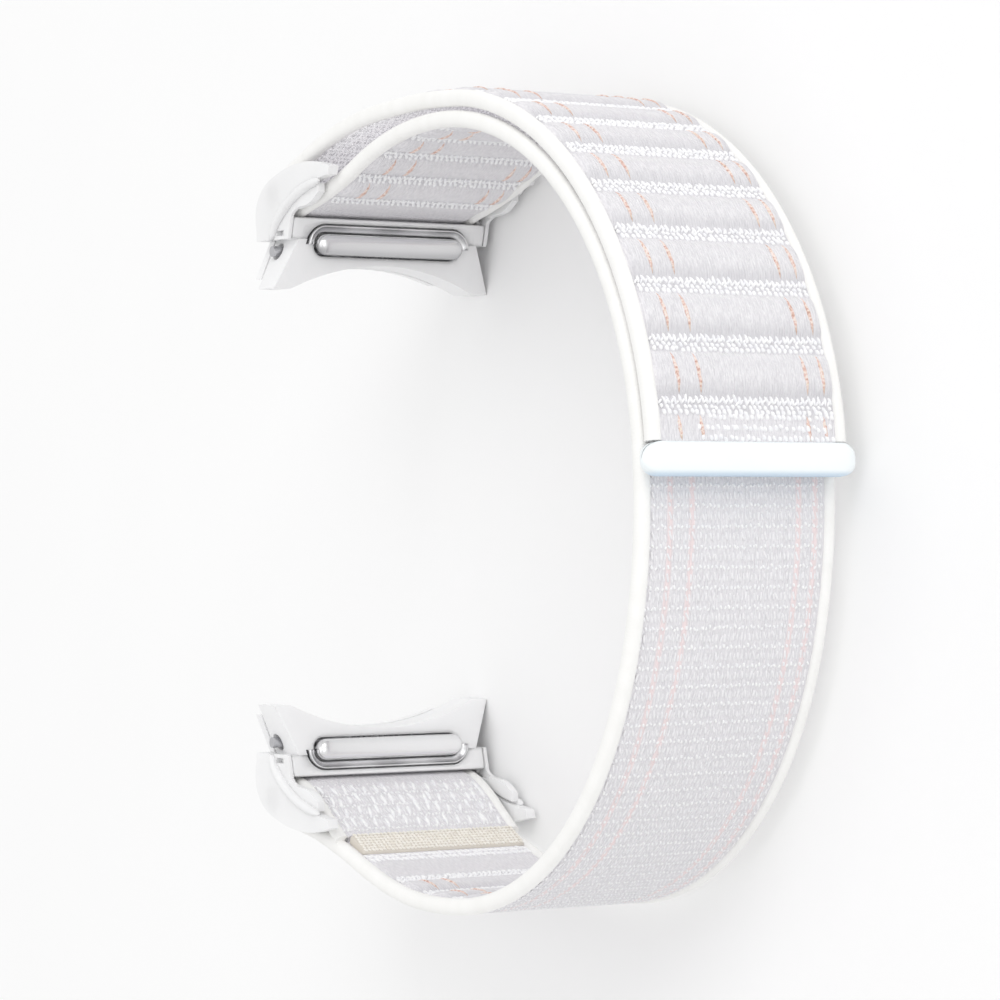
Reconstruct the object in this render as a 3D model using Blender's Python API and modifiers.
"""Nylon watch strap: a woven loop with a hook-and-loop flap, on two quick-release end links.

The strap lies on its edge. X runs from the lower end link to the upper one, Y runs from the
far side of the loop to its open side, and Z runs along the strap's width.
"""

from math import asin, atan2, cos, hypot, pi, radians, sin, tan

import bmesh
import bpy
import numpy as np
from mathutils import Matrix, Vector

MM = 0.001
CLEARANCE = 0.3 * MM
OVERRUN = 1.0 * MM

# Loop, measured on the middle line of the fabric and from the line through the two bars
BAR_SPAN = 56.8 * MM
LOOP_REACH = 59.4 * MM
CREST_REACH = 27.4 * MM
UPPER_CREST_RISE = 4.8 * MM
LOWER_CREST_RISE = 7.6 * MM
UPPER_CREST = BAR_SPAN / 2 + UPPER_CREST_RISE
LOWER_CREST = BAR_SPAN / 2 + LOWER_CREST_RISE
LAYER_STEP = 1.85 * MM
UPPER_SQUARENESS = 2.02
LOWER_SQUARENESS = 2.14
ROUTE_STEP = 5.0 * MM
ROUTE_TURN = radians(16)
WRAP_STEP_ANGLE = radians(22)

# Places between a bar and the crest: (share of the crest's reach, share of its rise over the bar)
UPPER_RUN_SHARES = ((0.234, -0.06), (0.398, 0.23), (0.518, 0.51), (0.664, 0.77), (0.843, 0.95))
FLAP_RUN_SHARES = ((0.088, 0.45), (0.234, 0.67), (0.453, 0.885), (0.715, 0.985))
LOWER_RUN_SHARES = (
    (0.117, 0.316), (0.2, 0.368), (0.3, 0.461), (0.409, 0.579), (0.515, 0.711), (0.69, 0.89), (0.843, 0.98)
)
FOLD_RUN_SHARES = ((0.204, 0.02), (0.292, 0.245), (0.365, 0.43))
UPPER_RUN_SLOPE = 0.25
FLAP_RUN_SLOPE = 0.42
LOWER_RUN_SLOPE = 0.2

# Fabric
BAND_WIDTH = 19.8 * MM
BINDING_WIDTH = 1.25 * MM
BINDING_THICKNESS = 1.5 * MM
BINDING_ROUND = 0.35 * MM
WEB_THICKNESS = 1.2 * MM
FOLD_THICKNESS = 1.1 * MM
RIB_RISE = 0.45 * MM
RIB_PITCH = 5.2 * MM
WEB_LENGTH = 1.45 * MM
RIB_PROFILE_SHARES = ((0.0, 0.0), (0.14, 0.7), (0.34, 1.0), (0.66, 1.0), (0.86, 0.7), (1.0, 0.0))
FIRST_WEB = 6.7 * MM
SEAM_LENGTH = 2.4 * MM
SEAM_THICKNESS = 0.6 * MM

# Flap, measured along its middle line from its free end
LAST_WEB = 5.75 * MM
TAB_END_X = 1.6 * MM
FLAP_WEBS_AT_HINGES = (1, 4, 7, 10, 13)
HOOK_LENGTH = 8.0 * MM
HOOK_THICKNESS = 0.4 * MM
TAB_WIDTH = 20.7 * MM
TAB_LENGTH = 2.8 * MM
TAB_THICKNESS = 2.2 * MM
TAB_SLOT_DEPTH = 1.6 * MM
TAB_ROUND = 0.55 * MM

# Bar of an end link, and the strap's turn round it
BAR_RADIUS = 0.8 * MM
BAR_LENGTH = 21.2 * MM
WRAP_RADIUS = BAR_RADIUS + CLEARANCE + BINDING_THICKNESS / 2
WRAP_OUTSIDE = WRAP_RADIUS + BINDING_THICKNESS / 2
WRAP_EXIT_SHARES = (1.78, -0.57)

# End link, measured from its bar: drops run towards the other link, and reaches run to the wrist
END_ARC_DROP = 6.45 * MM
END_ARC_RADIUS = BAR_SPAN / 2 - END_ARC_DROP
EAR_INSIDE = 20.4 * MM
EAR_OUTSIDE = 22.4 * MM
RIM_STEP = 0.3 * MM
EAR_TAIL = 11.0 * MM

# Side view of an ear, as shares of its tail: (away from the other link, away from the wrist)
EAR_EDGE_SHARES = (
    (-0.45, 0.26), (-0.38, 0.27), (-0.09, 0.29), (0.055, 0.185), (0.173, -0.08), (0.236, -0.41),
    (0.236, -0.727), (0.182, -1.0)
)
RIM_SHARES = (
    (-0.45, 0.075), (-0.382, 0.055), (-0.255, -0.027), (-0.145, -0.145), (-0.036, -0.327), (0.045, -0.564),
    (0.091, -0.809), (0.109, -0.973)
)
WRIST_EDGE_SHARES = ((-0.02, -0.76), (-0.1, -0.618), (-0.164, -0.309), (-0.24, -0.236), (-0.33, -0.13))
EAR_BACK_SHARES = ((-0.33, 0.05), (0.2, -0.1), (0.2, -0.76))
NOTCH_PLACE_SHARES = (-0.33, -0.09)

# Faces, lip, horns and plates of an end link
FACE_TILT = radians(15)
LIP_REACH = 3.1 * MM
LIP_DROP = 2.1 * MM
SHOULDER_DROP = 4.2 * MM
HORN_DROP = 8.8 * MM
HORN_WIDTH = 23.4 * MM
NECK_WIDTH = 19.5 * MM
BODY_BACK = 1.8 * MM
SHELL_THICKNESS = 1.0 * MM
SHELL_TOP_DROP = 1.9 * MM
SHELL_FOOT = 7.8 * MM
PLATE_WIDTH = 20.5 * MM
PLATE_DROP = 4.0 * MM
PLATE_THICKNESS = 0.7 * MM
NOTCH_LENGTH = 1.4 * MM
NOTCH_HEIGHT = 0.5 * MM
NOTCH_DEPTH = 0.6 * MM

# Push button and lock pins
BUTTON_LENGTH = 15.8 * MM
BUTTON_HEIGHT = 2.0 * MM
BUTTON_DROP = 4.65 * MM
BUTTON_TOP = 3.6 * MM
BUTTON_THICKNESS = 1.6 * MM
BUTTON_ROUND = 0.5 * MM
BEZEL_WALL = 0.4 * MM
BEZEL_DEPTH = 1.0 * MM
LEG_WIDTH = 0.8 * MM
LEG_HEIGHT = 0.9 * MM
LEG_DROP = 5.15 * MM
LEG_PLACE = 3.95 * MM
PIN_RADIUS = 0.5 * MM
PIN_DROP = 5.25 * MM
PIN_BACK = 0.6 * MM
PIN_TIP = 10.9 * MM
PIN_BORE_START = 7.5 * MM
CAVITY_LENGTH = 17.0 * MM
SLIDER_HEIGHT = 1.2 * MM
SLIDER_TOP = 0.9 * MM
SLIDER_BACK = 1.2 * MM
SLIDER_INNER_END = 3.4 * MM
SLIDER_TOP_LENGTH = 0.5 * MM
SPRING_RADIUS = 0.45 * MM
SPRING_WIRE_RADIUS = 0.12 * MM
SPRING_TURNS = 5

# Mesh fineness
ARC_STEPS = 8
OUTLINE_STRIDE = 2
ROUND_SIDES = 24
SPRING_POINTS_PER_TURN = 8
TANGENT_STEP = 0.3 * MM
BEVEL_FROM_ANGLE = radians(40)
SMOOTH_TO_ANGLE = radians(32)
WELD_DISTANCE = 0.001 * MM

COLOURS = {
    "webbing": (0.86, 0.85, 0.89),
    "binding": (0.93, 0.92, 0.88),
    "seam": (0.84, 0.80, 0.70),
    "tab": (0.88, 0.94, 0.98),
    "hook": (0.80, 0.80, 0.82),
    "plastic": (0.90, 0.90, 0.91),
    "chrome": (0.74, 0.75, 0.76),
    "steel": (0.62, 0.62, 0.63),
}
ROUGHNESSES = {
    "webbing": 0.85,
    "binding": 0.6,
    "seam": 0.8,
    "tab": 0.35,
    "hook": 0.7,
    "plastic": 0.4,
    "chrome": 0.12,
    "steel": 0.3,
}
METALS = ("chrome", "steel")

# An outline's own axes turned to Z and X with its depth along Y, and to Z and Y with its depth against X
FACEWISE = Matrix(((0, 1, 0, 0), (0, 0, 1, 0), (1, 0, 0, 0), (0, 0, 0, 1)))
ENDWISE = Matrix(((0, 0, -1, 0), (0, 1, 0, 0), (1, 0, 0, 0), (0, 0, 0, 1)))


def clear_scene():
    for obj in list(bpy.data.objects):
        bpy.data.objects.remove(obj, do_unlink=True)


def collection(name, hidden=False):
    made = bpy.data.collections.new(name)
    bpy.context.scene.collection.children.link(made)
    made.hide_render = hidden
    return made


def material(name):
    made = bpy.data.materials.get(name) or bpy.data.materials.new(name)
    made.use_nodes = True
    shader = made.node_tree.nodes["Principled BSDF"]
    shader.inputs["Base Color"].default_value = (*COLOURS[name], 1)
    shader.inputs["Roughness"].default_value = ROUGHNESSES[name]
    shader.inputs["Metallic"].default_value = 1 if name in METALS else 0
    return made


class Workshop:
    """Makes objects in the part's collection, and helpers in the cutters' collection."""

    def __init__(self):
        self.parts = collection("nylon_watch_strap")
        self.cutters = collection("cutters", hidden=True)
        self.root = self.empty("strap_frame", None)

    def empty(self, name, parent, spot=(0, 0, 0)):
        made = bpy.data.objects.new(name, None)
        made.location = Vector(spot) - origin(parent)
        made.parent = parent
        self.parts.objects.link(made)
        return made

    def place(self, name, mesh, parent, look):
        """A part if it has a look, and a cutter otherwise. The mesh comes in the strap's own frame."""
        mesh.transform(Matrix.Translation(-origin(parent)))
        made = bpy.data.objects.new(name, mesh)
        made.parent = parent
        if look:
            mesh.materials.append(material(look))
            self.parts.objects.link(made)
        else:
            made.hide_render = True
            made.display_type = "WIRE"
            self.cutters.objects.link(made)
        return made

    def prism(self, name, outline, low, high, parent, look=None, matrix=None):
        """A flat outline filled on both sides, from low to high along its normal."""
        curve = bpy.data.curves.new(name, "CURVE")
        curve.dimensions = "2D"
        curve.fill_mode = "BOTH"
        curve.extrude = (high - low) / 2
        spline = curve.splines.new("POLY")
        spline.points.add(len(outline) - 1)
        for point, (x, y) in zip(spline.points, outline):
            point.co = (x, y, 0, 1)
        spline.use_cyclic_u = True
        flat = bpy.data.objects.new(name, curve)
        self.parts.objects.link(flat)
        graph = bpy.context.evaluated_depsgraph_get()
        mesh = bpy.data.meshes.new_from_object(flat.evaluated_get(graph))
        bpy.data.objects.remove(flat, do_unlink=True)
        mesh.transform((matrix or Matrix.Identity(4)) @ Matrix.Translation((0, 0, (high + low) / 2)))
        clean(mesh)
        mesh.name = name
        return self.place(name, mesh, parent, look)

    def rod(self, name, radius, low, high, centre, parent, look=None):
        """A cylinder along Z, from low to high, round a centre given as (x, y)."""
        shape = bmesh.new()
        middle = Matrix.Translation((*centre, (low + high) / 2))
        bmesh.ops.create_cone(
            shape,
            cap_ends=True,
            segments=ROUND_SIDES,
            radius1=radius,
            radius2=radius,
            depth=high - low,
            matrix=middle,
        )
        mesh = bpy.data.meshes.new(name)
        shape.to_mesh(mesh)
        shape.free()
        return self.place(name, mesh, parent, look)


def origin(obj):
    """Where an object's own frame starts, in the strap's frame."""
    spot = Vector((0, 0, 0))
    while obj:
        spot += obj.location
        obj = obj.parent
    return spot


def clean(mesh):
    shape = bmesh.new()
    shape.from_mesh(mesh)
    bmesh.ops.remove_doubles(shape, verts=shape.verts, dist=WELD_DISTANCE)
    bmesh.ops.recalc_face_normals(shape, faces=shape.faces)
    shape.to_mesh(mesh)
    shape.free()


def combine(target, other, operation):
    modifier = target.modifiers.new(f"{operation.lower()} {other.name}", "BOOLEAN")
    modifier.operation = operation
    modifier.solver = "EXACT"
    modifier.object = other


def soften(target, width, segments=2):
    modifier = target.modifiers.new("rounded edges", "BEVEL")
    modifier.width = width
    modifier.segments = segments
    modifier.limit_method = "ANGLE"
    modifier.angle_limit = BEVEL_FROM_ANGLE


def shade(shop):
    """Smooth over round faces, and sharp at corners."""
    for obj in shop.parts.objects:
        if obj.type == "MESH":
            obj.data.shade_smooth()
            obj.data.set_sharp_from_angle(angle=SMOOTH_TO_ANGLE)
            obj.modifiers.new("flat faces stay flat", "WEIGHTED_NORMAL").keep_sharp = True


class Route:
    """A smooth line in the XY plane, read by the distance along it."""

    def __init__(self, points):
        knots = np.array(points)
        spans = np.hypot(*np.diff(knots, axis=0).T)[:, None]
        rates = np.diff(knots, axis=0) / spans
        inner = (rates[:-1] * spans[1:] + rates[1:] * spans[:-1]) / (spans[:-1] + spans[1:])
        slopes = np.vstack([rates[:1], inner, rates[-1:]])
        t = np.linspace(0, 1, ARC_STEPS, endpoint=False)[:, None]
        runs = []
        for i, span in enumerate(spans):
            middle = (3 * t**2 - 2 * t**3) * (knots[i + 1] - knots[i])
            bend = (t - 2 * t**2 + t**3) * slopes[i] + (t**3 - t**2) * slopes[i + 1]
            runs.append(knots[i] + middle + span * bend)
        self.points = np.vstack([*runs, knots[-1:]])
        steps = np.hypot(*np.diff(self.points, axis=0).T)
        self.along = np.concatenate([[0], np.cumsum(steps)])
        self.length = self.along[-1]
        ways = np.unwrap(np.arctan2(*np.diff(self.points, axis=0).T[::-1]))
        turns = np.concatenate([[0, 0], np.cumsum(np.abs(np.diff(ways)))])
        self.pace = self.along / ROUTE_STEP + turns / ROUTE_TURN

    def stations(self, start, end):
        """Distances along the line from start to end, closer together where it turns."""
        paces = np.interp((start, end), self.along, self.pace)
        count = max(2, round(paces[1] - paces[0]) + 1)
        return list(np.interp(np.linspace(*paces, count), self.pace, self.along))

    def at(self, place, offset=0):
        """The point at a distance along the line, moved to the wrist's side by the offset."""
        ahead, behind = (self.read(place + side * TANGENT_STEP) for side in (1, -1))
        across = ahead - behind
        wrist_side = np.array([-across[1], across[0]]) / hypot(*across)
        return self.read(place) + offset * wrist_side

    def read(self, place):
        return np.array([np.interp(place, self.along, column) for column in self.points.T])

    def knot(self, number):
        """The distance along the line of one of its first points."""
        return self.along[number * ARC_STEPS]

    def crossing(self, axis, value, start=0):
        """The first distance past a start where a coordinate passes a value."""
        past = self.along >= start
        signs = np.sign(self.points[past][:, axis] - value)
        turn = np.nonzero(signs[1:] != signs[:-1])[0][0]
        ends = self.points[past][turn : turn + 2, axis]
        return np.interp(value, np.sort(ends), self.along[past][turn : turn + 2][np.argsort(ends)])


def ribbon(route, start, end, low, high, ribs=()):
    """An outline along a route, between two offsets. Ribs are (start, end) pairs on its high side."""
    plain = route.stations(start, end)
    near = [(place, high) for place in plain if not any(a <= place <= b for a, b in ribs)]
    for a, b in ribs:
        near += [(a + share * (b - a), high + rise * RIB_RISE) for share, rise in RIB_PROFILE_SHARES]
    near.sort(key=lambda spot: spot[0])
    face = [route.at(place, offset) for place, offset in near]
    back = [route.at(place, low) for place in reversed(plain)]
    return face + back


def rounded(shares, size):
    """A smooth outline through points given as shares of a size."""
    spots = [(across * size, along * size) for across, along in shares]
    return [tuple(spot) for spot in Route(spots).points[::OUTLINE_STRIDE]]


def arc(centre, radius, start, end, steps):
    """Points round a centre. Angles are measured from +Y towards +X."""
    turns = np.linspace(start, end, steps + 1)
    return [(centre[0] + radius * sin(turn), centre[1] + radius * cos(turn)) for turn in turns]


def quarter(crest, reach, side, squareness, steps):
    """A quarter of a rounded loop, from its far side to a crest, both ends included."""
    turns = np.linspace(0, pi / 2, steps + 1)
    depth = reach - CREST_REACH
    power = 2 / squareness
    spots = [(sin(turn) ** power, max(cos(turn), 0) ** power) for turn in turns]
    return [(side * crest * across, -CREST_REACH - depth * along) for across, along in spots]


def run(shares, crest, side):
    """Places between a bar and a crest, from the bar outwards."""
    bar = BAR_SPAN / 2
    return [(side * (bar + rise * (crest - bar)), -reach * CREST_REACH) for reach, rise in shares]


def wrap_exit(side):
    """Where the strap passes under a link's lip, on its way from the turn round the bar to the wrist."""
    reach, rise = (share * WRAP_RADIUS for share in WRAP_EXIT_SHARES)
    return [(side * (BAR_SPAN / 2 + rise), -reach)]


def wrap(side, wrist_slope, outer_slope):
    """The turn round a bar, from its wrist side over the open side to its outer side."""
    turns = (-pi / 2 - atan2(wrist_slope, 1), pi / 2 - atan2(outer_slope, 1))
    steps = round((turns[1] - turns[0]) / WRAP_STEP_ANGLE)
    spots = arc((0, 0), WRAP_RADIUS, *turns, steps)
    return [(side * (BAR_SPAN / 2 + x), y) for x, y in spots]


def band_route():
    """From the lower bar round the loop, over the upper bar and along the flap, with two places on it."""
    lower_turn = wrap(-1, UPPER_RUN_SLOPE, LOWER_RUN_SLOPE)
    lower = run(LOWER_RUN_SHARES, LOWER_CREST, -1)
    far_low = quarter(LOWER_CREST, LOOP_REACH, -1, LOWER_SQUARENESS, ARC_STEPS)
    far_high = quarter(UPPER_CREST, LOOP_REACH, 1, UPPER_SQUARENESS, ARC_STEPS)
    upper = wrap_exit(1) + run(UPPER_RUN_SHARES, UPPER_CREST, 1)
    upper_turn = wrap(1, UPPER_RUN_SLOPE, FLAP_RUN_SLOPE)
    flap_crest = UPPER_CREST + LAYER_STEP
    flap = run(FLAP_RUN_SHARES, flap_crest, 1)
    flap_far = quarter(flap_crest, LOOP_REACH + LAYER_STEP, 1, UPPER_SQUARENESS, ARC_STEPS)
    loop = lower_turn[len(lower_turn) // 2 :] + lower + far_low[::-1] + far_high[1:] + upper[::-1]
    route = Route(loop + upper_turn + flap + flap_far[::-1])
    return route, route.knot(len(loop)), route.knot(len(loop) + len(upper_turn) - 1)


def fold_route():
    """The fixed end, from its turn round the lower bar to where it is sewn down."""
    turn = wrap(-1, UPPER_RUN_SLOPE, LOWER_RUN_SLOPE)
    leaving = wrap_exit(-1) + run(FOLD_RUN_SHARES, LOWER_CREST, -1)
    return Route(turn[len(turn) // 2 + 1 :: -1] + leaving)


class Fabric:
    """The strap: its stations along the route, and its pieces."""

    def __init__(self, shop):
        self.shop = shop
        self.route, self.upper_wrap, self.flap_root = band_route()
        self.fold = fold_route()
        self.fold_end = self.route.crossing(1, -FOLD_RUN_SHARES[-1][0] * CREST_REACH)
        self.seam_end = self.fold_end + CLEARANCE + SEAM_LENGTH
        self.flap_end = self.route.crossing(0, TAB_END_X, self.flap_root)
        self.tab_start = self.flap_end - TAB_LENGTH
        self.web_half_width = BAND_WIDTH / 2 - BINDING_WIDTH - CLEARANCE
        self.hinges = [self.flap_web(number) for number in reversed(FLAP_WEBS_AT_HINGES)]

    def flap_web(self, number):
        """The middle of a web between two ribs of the flap, counted from the free end."""
        return self.flap_end - LAST_WEB - number * RIB_PITCH

    def main_web(self, number):
        return self.upper_wrap - FIRST_WEB - number * RIB_PITCH

    def ribs_between(self, webs, start, end):
        """The ribs that lie between neighbouring webs and inside a stretch."""
        found = []
        for low, high in zip(webs, webs[1:]):
            rib = (low + WEB_LENGTH / 2, high - WEB_LENGTH / 2)
            if rib[0] >= start and rib[1] <= end:
                found.append(rib)
        return found

    def build(self):
        main_webs = [self.main_web(n) for n in range(round(self.upper_wrap / RIB_PITCH))][::-1]
        flap_webs = [self.flap_web(n) for n in range(FLAP_WEBS_AT_HINGES[-1] + 2)][::-1]
        band_end = self.hinges[0] - CLEARANCE / 2
        ribs = self.ribs_between(main_webs, self.seam_end, self.upper_wrap)
        ribs += self.ribs_between(flap_webs, self.flap_root, band_end)
        self.webbing("strap_webbing", 0, band_end, self.shop.root, ribs, folded=True)
        self.bindings("edge_binding", 0, band_end, self.shop.root, folded=True)
        seam_low = WEB_THICKNESS / 2 + CLEARANCE
        seam_start = self.fold_end + CLEARANCE
        seam = ribbon(self.route, seam_start, self.seam_end, seam_low, seam_low + SEAM_THICKNESS)
        self.across("sewn_seam_tape", seam, self.web_half_width, self.shop.root, "seam")
        parent = self.shop.root
        for number, start in enumerate(self.hinges, 1):
            spot = (*self.route.at(start, BINDING_THICKNESS / 2), 0)
            parent = self.shop.empty(f"flap_hinge_{number}", parent, spot)
            last = number == len(self.hinges)
            end = self.tab_start if last else self.hinges[number]
            span = (start + CLEARANCE / 2, end - (CLEARANCE if last else CLEARANCE / 2))
            ribs = self.ribs_between(flap_webs, *span)
            self.bindings(f"flap_{number}_binding", *span, parent)
            if last:
                self.free_end(span, ribs, parent)
            else:
                self.webbing(f"flap_{number}_webbing", *span, parent, ribs)

    def across(self, name, outline, half_width, parent, look=None):
        return self.shop.prism(name, outline, -half_width, half_width, parent, look)

    def webbing(self, name, start, end, parent, ribs, folded=False):
        half = WEB_THICKNESS / 2
        outline = ribbon(self.route, start, end, -half, half, ribs)
        made = self.across(name, outline, self.web_half_width, parent, "webbing")
        if folded:
            fold = self.across(f"{name}_fold", self.fold_outline(), self.web_half_width, parent)
            combine(made, fold, "UNION")
        return made

    def fold_outline(self):
        return ribbon(self.fold, 0, self.fold.length, -FOLD_THICKNESS / 2, FOLD_THICKNESS / 2)

    def bindings(self, name, start, end, parent, folded=False):
        """The two bound edges of a stretch."""
        half = BINDING_THICKNESS / 2
        outline = ribbon(self.route, start, end, -half, half)
        inner = BAND_WIDTH / 2 - BINDING_WIDTH
        for suffix, side in (("low", -1), ("high", 1)):
            low, high = sorted((side * inner, side * BAND_WIDTH / 2))
            made = self.shop.prism(f"{name}_{suffix}", outline, low, high, parent, "binding")
            if folded:
                fold = self.shop.prism(f"{name}_{suffix}_fold", self.fold_outline(), low, high, parent)
                combine(made, fold, "UNION")
            soften(made, BINDING_ROUND, 1)

    def free_end(self, span, ribs, parent):
        """The last stretch of the flap, its hook patch and its end tab."""
        low, high = CLEARANCE + HOOK_THICKNESS - WEB_THICKNESS / 2, WEB_THICKNESS / 2
        tongue_end = self.tab_start + TAB_SLOT_DEPTH - CLEARANCE
        outline = ribbon(self.route, span[0], tongue_end, low, high, ribs)
        self.across("flap_free_end_webbing", outline, self.web_half_width, parent, "webbing")
        hook = ribbon(
            self.route, span[1] - HOOK_LENGTH, span[1], -WEB_THICKNESS / 2, HOOK_THICKNESS - WEB_THICKNESS / 2
        )
        self.across("hook_patch", hook, self.web_half_width, parent, "hook")
        tab_low = CLEARANCE + BINDING_THICKNESS / 2 - LAYER_STEP
        outline = ribbon(self.route, self.tab_start, self.flap_end, tab_low, tab_low + TAB_THICKNESS)
        tab = self.across("end_tab", outline, TAB_WIDTH / 2, parent, "tab")
        slot_ends = (self.tab_start - OVERRUN, self.tab_start + TAB_SLOT_DEPTH)
        slot = ribbon(self.route, *slot_ends, low - CLEARANCE, high + CLEARANCE)
        combine(tab, self.across("end_tab_slot", slot, self.web_half_width + CLEARANCE, parent), "DIFFERENCE")
        soften(tab, TAB_ROUND)


def face_reach(drop):
    """Where the tilted wrist face of an end link lies, at a drop below the bar."""
    return (drop - LIP_DROP) * tan(FACE_TILT) - LIP_REACH


def pill(length, height, centre):
    """A bar with round ends, as (z, x), round a centre on the X axis."""
    reach = (length - height) / 2
    ends = np.linspace(-pi / 2, pi / 2, ARC_STEPS + 1)
    right = [(reach + height / 2 * cos(turn), centre + height / 2 * sin(turn)) for turn in ends]
    return right + [(-z, 2 * centre - x) for z, x in right]


class EndLink:
    """One quick-release end link. Its side is 1 at the upper end of the loop and -1 at the lower."""

    def __init__(self, shop, name, side):
        self.shop = shop
        self.name = name
        self.side = side
        self.bar = BAR_SPAN / 2
        self.hinge = shop.empty(f"{name}_link_axis", shop.root, (side * self.bar, 0, 0))
        self.ear_half = EAR_OUTSIDE / 2
        self.blank_half = max(HORN_WIDTH, EAR_OUTSIDE) / 2 + OVERRUN

    def spots(self, points):
        """Points given from the bar, as (away from the other link, away from the wrist)."""
        return [(self.side * (self.bar + away), y) for away, y in points]

    def fronts(self, points):
        """Points of the front outline given as (z, away from the bar)."""
        return [(z, self.side * (self.bar + away)) for z, away in points]

    def side_prism(self, name, points, low, high, look=None, parent=None):
        outline = self.spots(points)
        return self.shop.prism(f"{self.name}_{name}", outline, low, high, parent or self.hinge, look)

    def front_prism(self, name, outline, low, high, look=None, parent=None):
        return self.shop.prism(
            f"{self.name}_{name}", outline, low, high, parent or self.hinge, look, FACEWISE
        )

    def rod(self, name, radius, low, high, drop, reach, look=None, parent=None):
        centre = (self.side * (self.bar - drop), reach)
        return self.shop.rod(f"{self.name}_{name}", radius, low, high, centre, parent or self.hinge, look)

    def build(self):
        self.end_arc = self.end_arc_cutter()
        self.body()
        self.shell()
        self.cover_plate()
        self.bezel()
        self.rod("strap_bar", BAR_RADIUS, -BAR_LENGTH / 2, BAR_LENGTH / 2, 0, 0, "steel")
        self.button()
        for suffix, way in (("low", -1), ("high", 1)):
            self.lock_pin(suffix, way)
        self.pin_spring()

    def end_arc_cutter(self):
        """The circle about the middle of the gap between the links, which hollows their inner ends."""
        turns = np.linspace(0, 2 * pi, 4 * ROUND_SIDES, endpoint=False)
        outline = [(END_ARC_RADIUS * cos(turn), END_ARC_RADIUS * sin(turn)) for turn in turns]
        back = BODY_BACK + CLEARANCE + SHELL_THICKNESS
        return self.front_prism("end_arc", outline, -LIP_REACH - OVERRUN, back + OVERRUN)

    def front_outline(self, foot, ear_half):
        """Horns, neck and shoulders, as they show from the wrist."""
        flare = (HORN_WIDTH - NECK_WIDTH) / 2 / (HORN_DROP - SHOULDER_DROP)
        foot_half = NECK_WIDTH / 2 + flare * (foot - SHOULDER_DROP)
        right = [(foot_half, -foot), (NECK_WIDTH / 2, -SHOULDER_DROP), (ear_half, -SHOULDER_DROP)]
        right.append((ear_half, EAR_TAIL))
        return self.fronts(right + [(-z, away) for z, away in reversed(right)])

    def wrap_arc(self, start, end):
        """The hollow round the strap's turn. Angles run outwards, from the side away from the wrist."""
        return arc((0, 0), WRAP_OUTSIDE + CLEARANCE, start, end, ARC_STEPS)

    def body(self):
        radius = WRAP_OUTSIDE + CLEARANCE
        foot = HORN_DROP + OVERRUN
        hollow = self.wrap_arc(-pi / 2 - atan2(UPPER_RUN_SLOPE, 1), asin(BODY_BACK / radius) - pi / 2)
        profile = [(-foot, face_reach(foot)), (-LIP_DROP, -LIP_REACH), *hollow, (-foot, BODY_BACK)]
        body = self.side_prism("link_body", profile, -self.blank_half, self.blank_half, "plastic")
        for suffix, way in (("low", -1), ("high", 1)):
            combine(body, self.body_ear(suffix, way), "UNION")
        outline = self.front_outline(HORN_DROP, self.ear_half - RIM_STEP)
        combine(body, self.front_prism("body_front", outline, -EAR_TAIL - OVERRUN, EAR_TAIL), "INTERSECT")
        for suffix, way in (("low", -1), ("high", 1)):
            combine(body, self.shell_seat(suffix, way), "DIFFERENCE")
            ends = sorted((way * PIN_BORE_START, way * self.blank_half))
            bore = self.rod(f"pin_bore_{suffix}", PIN_RADIUS + CLEARANCE, *ends, PIN_DROP, PIN_BACK)
            combine(body, bore, "DIFFERENCE")
            combine(body, self.notch(suffix, way), "DIFFERENCE")
        combine(body, self.end_arc, "DIFFERENCE")
        recess = self.plate_outline(CLEARANCE, OVERRUN)
        half = PLATE_WIDTH / 2 + CLEARANCE
        combine(body, self.side_prism("plate_recess", recess, -half, half), "DIFFERENCE")
        for pocket in self.pockets():
            combine(body, pocket, "DIFFERENCE")

    def rim(self):
        return rounded(RIM_SHARES, EAR_TAIL)

    def shell_seat(self, suffix, way):
        """Makes room for a shell's ear: all that lies past the rim line, set back by the parting gap."""
        rim = np.array(self.rim())
        ahead = np.gradient(rim, axis=0)
        ahead /= np.hypot(*ahead.T)[:, None]
        rim += CLEARANCE * np.stack([-np.abs(ahead[:, 1]), -np.abs(ahead[:, 0])], 1)
        foot = -SHOULDER_DROP - CLEARANCE
        above = [(EAR_TAIL, -EAR_TAIL - OVERRUN), (EAR_TAIL, EAR_TAIL), (foot, EAR_TAIL), (foot, rim[0][1])]
        outline = [tuple(spot) for spot in rim if spot[0] > foot] + above
        ends = sorted((way * (EAR_INSIDE / 2 - CLEARANCE), way * self.blank_half))
        return self.side_prism(f"shell_seat_{suffix}", outline, *ends)

    def body_ear(self, suffix, way):
        """The wrist side of an ear, which the shell's seat trims at the rim line."""
        back = [(away * EAR_TAIL, y * EAR_TAIL) for away, y in EAR_BACK_SHARES]
        outline = rounded(WRIST_EDGE_SHARES, EAR_TAIL) + back
        low, high = sorted((way * EAR_INSIDE / 2, way * self.blank_half))
        return self.side_prism(f"body_ear_{suffix}", outline, low, high)

    def notch(self, suffix, way):
        away, reach = (share * EAR_TAIL for share in NOTCH_PLACE_SHARES)
        half = (NOTCH_HEIGHT / 2, NOTCH_LENGTH / 2)
        corners = [(away + a * half[0], reach + b * half[1]) for a, b in ((-1, -1), (1, -1), (1, 1), (-1, 1))]
        face = self.ear_half - RIM_STEP
        low, high = sorted((way * (face - NOTCH_DEPTH), way * (face + OVERRUN)))
        return self.side_prism(f"pry_notch_{suffix}", corners, low, high)

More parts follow.
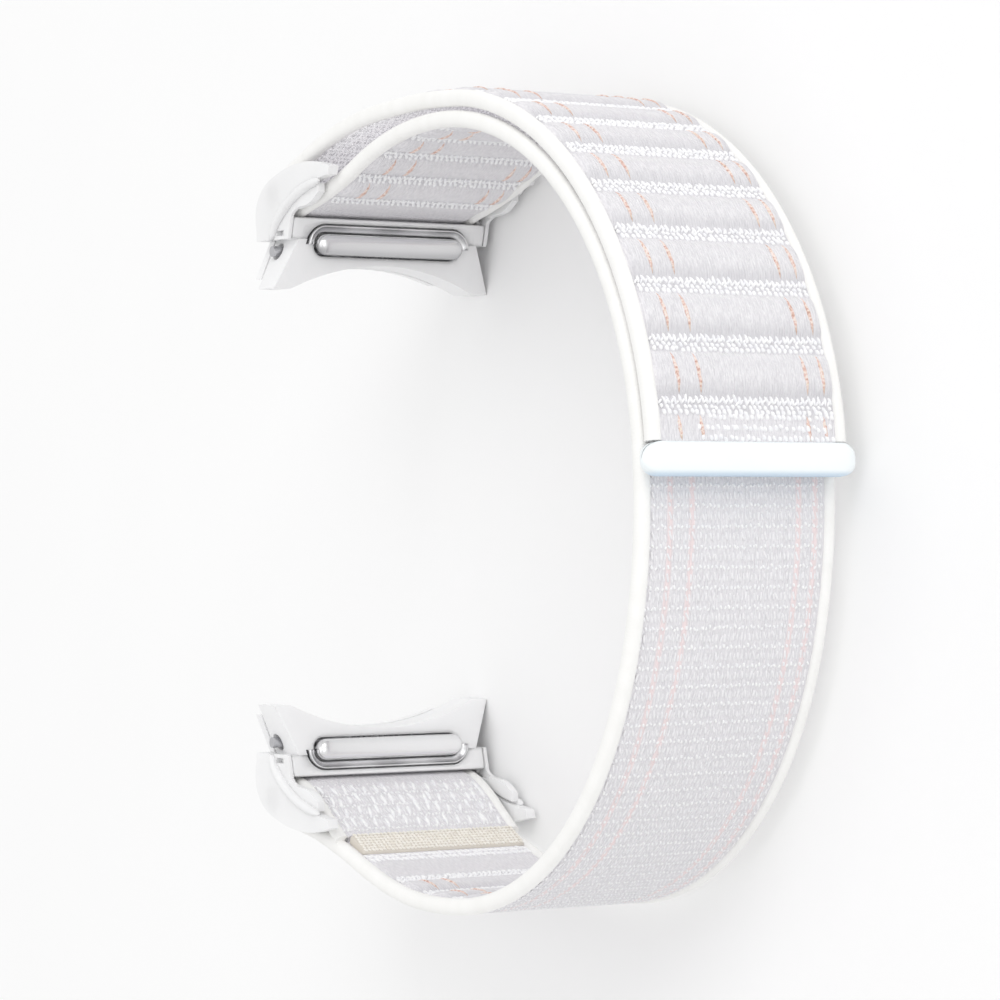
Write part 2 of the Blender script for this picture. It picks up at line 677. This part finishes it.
    def shell(self):
        """The outer shell: a back plate and two crescents that hold the bar."""
        low, high = BODY_BACK + CLEARANCE, BODY_BACK + CLEARANCE + SHELL_THICKNESS
        foot = -SHELL_FOOT - OVERRUN
        plate = [(foot, low), (-SHELL_TOP_DROP, low), (-SHELL_TOP_DROP, high), (foot, high)]
        shell = self.side_prism("outer_shell", plate, -self.blank_half, self.blank_half, "plastic")
        crescent = rounded(EAR_EDGE_SHARES, EAR_TAIL) + self.rim()[::-1]
        for suffix, way in (("low", -1), ("high", 1)):
            inner, outer = sorted((way * EAR_INSIDE / 2, way * self.blank_half))
            combine(shell, self.side_prism(f"shell_ear_{suffix}", crescent, inner, outer), "UNION")
        outline = self.front_outline(SHELL_FOOT, self.ear_half)
        combine(shell, self.front_prism("shell_front", outline, -EAR_TAIL - OVERRUN, EAR_TAIL), "INTERSECT")
        hollow = self.rod("wrap_hollow", WRAP_OUTSIDE + CLEARANCE, -EAR_INSIDE / 2, EAR_INSIDE / 2, 0, 0)
        combine(shell, hollow, "DIFFERENCE")
        half = BAR_LENGTH / 2 + CLEARANCE
        combine(shell, self.rod("bar_bores", BAR_RADIUS + CLEARANCE, -half, half, 0, 0), "DIFFERENCE")
        combine(shell, self.end_arc, "DIFFERENCE")

    def plate_outline(self, margin, overrun):
        """The cover plate's side view, grown by a margin, with an overrun past the face and the lip."""
        inward = (sin(FACE_TILT), cos(FACE_TILT))
        lip = (-LIP_DROP, -LIP_REACH)
        hollow = self.wrap_arc(-pi / 2 - atan2(UPPER_RUN_SLOPE, 1), -pi / 2)[0]
        along_lip = (hollow[0] - lip[0], hollow[1] - lip[1])
        deep = (PLATE_THICKNESS + margin) / (along_lip[0] * inward[0] + along_lip[1] * inward[1])
        foot = PLATE_DROP + margin
        corner = (-foot, face_reach(foot))
        thick = PLATE_THICKNESS + margin
        back = [(corner[0] + thick * inward[0], corner[1] + thick * inward[1])]
        back.append((lip[0] + deep * along_lip[0] + overrun, lip[1] + deep * along_lip[1]))
        return [(lip[0] + overrun, lip[1] - overrun), (corner[0], corner[1] - overrun), *back]

    def cover_plate(self):
        half = PLATE_WIDTH / 2
        plate = self.side_prism("cover_plate", self.plate_outline(0, 0), -half, half, "plastic")
        for pocket in self.pockets()[:2]:
            combine(plate, pocket, "DIFFERENCE")

    def arch(self, length, height):
        """The half of a pill that lies towards the bar."""
        centre = self.bar - BUTTON_DROP
        return [(z, self.side * x) for z, x in pill(length, height, centre) if x >= centre - WELD_DISTANCE]

    def pockets(self):
        """Hollows for the bezel, for the button's head and for the lock pins."""
        front = -LIP_REACH - OVERRUN
        grow = 2 * (2 * CLEARANCE + BEZEL_WALL)
        bezel_back = face_reach(BUTTON_DROP - BUTTON_HEIGHT / 2) + BEZEL_DEPTH
        arch = self.arch(BUTTON_LENGTH + grow, BUTTON_HEIGHT + grow)
        well = [(z, self.side * x) for z, x in self.head_outline(CLEARANCE)]
        half_height = SLIDER_HEIGHT / 2 + CLEARANCE
        drops = (-PIN_DROP - half_height, -PIN_DROP + half_height)
        half = CAVITY_LENGTH / 2
        cavity = self.fronts(((-half, drops[0]), (half, drops[0]), (half, drops[1]), (-half, drops[1])))
        return (
            self.front_prism("bezel_pocket", arch, front, bezel_back + CLEARANCE),
            self.front_prism("button_well", well, front, -SLIDER_TOP),
            self.front_prism("pin_cavity", cavity, -SLIDER_TOP - CLEARANCE, BODY_BACK + OVERRUN),
        )

    def head_outline(self, grow):
        return pill(BUTTON_LENGTH + 2 * grow, BUTTON_HEIGHT + 2 * grow, self.bar - BUTTON_DROP)

    def bezel(self):
        grow = 2 * (CLEARANCE + BEZEL_WALL)
        front = face_reach(BUTTON_DROP - BUTTON_HEIGHT / 2)
        arch = self.arch(BUTTON_LENGTH + grow, BUTTON_HEIGHT + grow)
        bezel = self.front_prism("button_bezel", arch, front, front + BEZEL_DEPTH, "chrome")
        inside = [(z, self.side * x) for z, x in self.head_outline(CLEARANCE)]
        combine(bezel, self.front_prism("bezel_inside", inside, front - OVERRUN, BODY_BACK), "DIFFERENCE")

    def button(self):
        self.slide = self.shop.empty(
            f"{self.name}_button_slide", self.hinge, (self.side * (self.bar - BUTTON_DROP), -BUTTON_TOP, 0)
        )
        outline = [(z, self.side * x) for z, x in self.head_outline(0)]
        back = BUTTON_THICKNESS - BUTTON_TOP
        button = self.front_prism("push_button", outline, -BUTTON_TOP, back, "chrome", self.slide)
        soften(button, BUTTON_ROUND)
        for suffix, way in (("low", -1), ("high", 1)):
            inner, outer = LEG_PLACE - LEG_WIDTH / 2, LEG_PLACE + LEG_WIDTH / 2
            wedge = [(inner, back - BUTTON_ROUND), (outer, back - BUTTON_ROUND)]
            wedge += [(outer, self.leg_end(outer)), (inner, self.leg_end(inner))]
            leg = self.end_prism(f"button_leg_{suffix}", wedge, way, LEG_DROP, LEG_HEIGHT, None, self.slide)
            combine(button, leg, "UNION")

    def leg_end(self, z):
        """The wedge under a leg, set back from the slider's wedge by the clearance."""
        return z - SLIDER_INNER_END - SLIDER_TOP_LENGTH - SLIDER_TOP - CLEARANCE * 2**0.5

    def end_prism(self, name, outline, way, drop, height, look=None, parent=None):
        """A shape cut from the outline (z, y), mirrored to either end of the button."""
        middle = self.side * (self.bar - drop)
        ends = (-middle - height / 2, -middle + height / 2)
        outline = [(way * z, y) for z, y in outline]
        return self.shop.prism(f"{self.name}_{name}", outline, *ends, parent or self.hinge, look, ENDWISE)

    def lock_pin(self, suffix, way):
        """A pin with a slider block, whose wedge the button's leg pushes inwards."""
        axis = self.shop.empty(
            f"{self.name}_pin_slide_{suffix}", self.hinge, (self.side * (self.bar - PIN_DROP), PIN_BACK, 0)
        )
        wedge_start = SLIDER_INNER_END + SLIDER_TOP_LENGTH
        pin_side = PIN_BACK - PIN_RADIUS
        block = [(SLIDER_INNER_END, -SLIDER_TOP), (wedge_start, -SLIDER_TOP)]
        outer = wedge_start + SLIDER_TOP + pin_side
        block += [(outer, pin_side), (outer, SLIDER_BACK), (SLIDER_INNER_END, SLIDER_BACK)]
        pin = self.end_prism(f"lock_pin_{suffix}", block, way, PIN_DROP, SLIDER_HEIGHT, "steel", axis)
        low, high = sorted((way * (outer - SLIDER_TOP_LENGTH), way * PIN_TIP))
        shank = self.rod(f"pin_shank_{suffix}", PIN_RADIUS, low, high, PIN_DROP, PIN_BACK, None, axis)
        combine(pin, shank, "UNION")

    def pin_spring(self):
        """A compression spring between the two sliders."""
        reach = SLIDER_INNER_END - CLEARANCE - SPRING_WIRE_RADIUS
        count = SPRING_TURNS * SPRING_POINTS_PER_TURN + 1
        curve = bpy.data.curves.new(f"{self.name}_pin_spring", "CURVE")
        curve.dimensions = "3D"
        curve.bevel_depth = SPRING_WIRE_RADIUS
        curve.bevel_resolution = 2
        curve.use_fill_caps = True
        spline = curve.splines.new("POLY")
        spline.points.add(count - 1)
        for point, share in zip(spline.points, np.linspace(0, 1, count)):
            turn = 2 * pi * SPRING_TURNS * share
            point.co = (SPRING_RADIUS * cos(turn), SPRING_RADIUS * sin(turn), reach * (2 * share - 1), 1)
        spring = bpy.data.objects.new(f"{self.name}_pin_spring", curve)
        curve.materials.append(material("steel"))
        spring.parent = self.hinge
        spring.location = Vector((self.side * (self.bar - PIN_DROP), PIN_BACK, 0)) - origin(self.hinge)
        self.shop.parts.objects.link(spring)


def stand_on_lowest_point(shop):
    """Moves the whole strap so that its origin is the bottom centre of its bounding box."""
    bpy.context.view_layer.update()
    graph = bpy.context.evaluated_depsgraph_get()
    lows, highs = [], []
    for obj in shop.parts.objects:
        if obj.type != "EMPTY":
            shape = obj.evaluated_get(graph)
            spots = np.array([obj.matrix_world @ vertex.co for vertex in shape.to_mesh().vertices])
            lows.append(spots.min(axis=0))
            highs.append(spots.max(axis=0))
            shape.to_mesh_clear()
    low, high = np.min(lows, axis=0), np.max(highs, axis=0)
    shop.root.location = (-(low[0] + high[0]) / 2, -(low[1] + high[1]) / 2, -low[2])
    bpy.context.view_layer.update()


def main():
    clear_scene()
    shop = Workshop()
    Fabric(shop).build()
    for name, side in (("upper", 1), ("lower", -1)):
        EndLink(shop, name, side).build()
    shade(shop)
    stand_on_lowest_point(shop)


if __name__ == "__main__":
    main()
